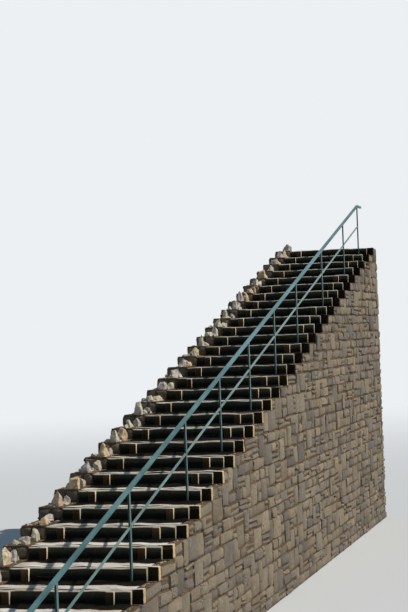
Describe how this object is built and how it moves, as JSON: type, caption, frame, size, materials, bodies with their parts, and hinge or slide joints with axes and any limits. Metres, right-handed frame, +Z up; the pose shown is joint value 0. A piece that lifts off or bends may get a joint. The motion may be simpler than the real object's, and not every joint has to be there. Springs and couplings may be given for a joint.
{
  "type": "outdoor timber steps with handrail",
  "caption": "Long straight flight of staked timber steps on a stone bed, with stone edging on the left and a steel handrail on the right.",
  "frame": {"origin": "on the ground under the middle of the lowest step", "axes": "+X to the right across the steps, +Y uphill along the flight, +Z up"},
  "size_m": [1.958, 21.155, 6.25],
  "materials": {
    "bed_stone": "rough fieldstone and earth",
    "board_timber": "weathered dark timber with a bleached top",
    "sleeper_timber": "weathered dark timber with a bleached top",
    "plank_timber": "sun-bleached timber",
    "stake_timber": "weathered sawn timber",
    "edging_stone": "rough pale fieldstone",
    "painted_steel": "weathered blue-green paint"
  },
  "bodies": {
    "root": {"bed_01": "bed_stone", "bed_02": "bed_stone", "bed_03": "bed_stone", "bed_04": "bed_stone", "bed_05": "bed_stone", "bed_06": "bed_stone", "bed_07": "bed_stone", "bed_08": "bed_stone", "bed_09": "bed_stone", "bed_10": "bed_stone", "lower_front_boards": "board_timber", "middle_front_boards": "board_timber", "upper_front_boards": "board_timber", "lower_sleepers": "sleeper_timber", "middle_sleepers": "sleeper_timber", "upper_sleepers": "sleeper_timber", "lower_tread_planks": "plank_timber", "middle_tread_planks": "plank_timber", "upper_tread_planks": "plank_timber", "lower_stakes": "stake_timber", "middle_stakes": "stake_timber", "upper_stakes": "stake_timber", "lower_edging_stones": "edging_stone", "middle_edging_stones": "edging_stone", "upper_edging_stones": "edging_stone", "lower_posts": "painted_steel", "middle_posts": "painted_steel", "upper_posts": "painted_steel", "top_rail": "painted_steel", "top_rail_ends": "painted_steel", "mid_rails": "painted_steel"}
  },
  "joints": []
}
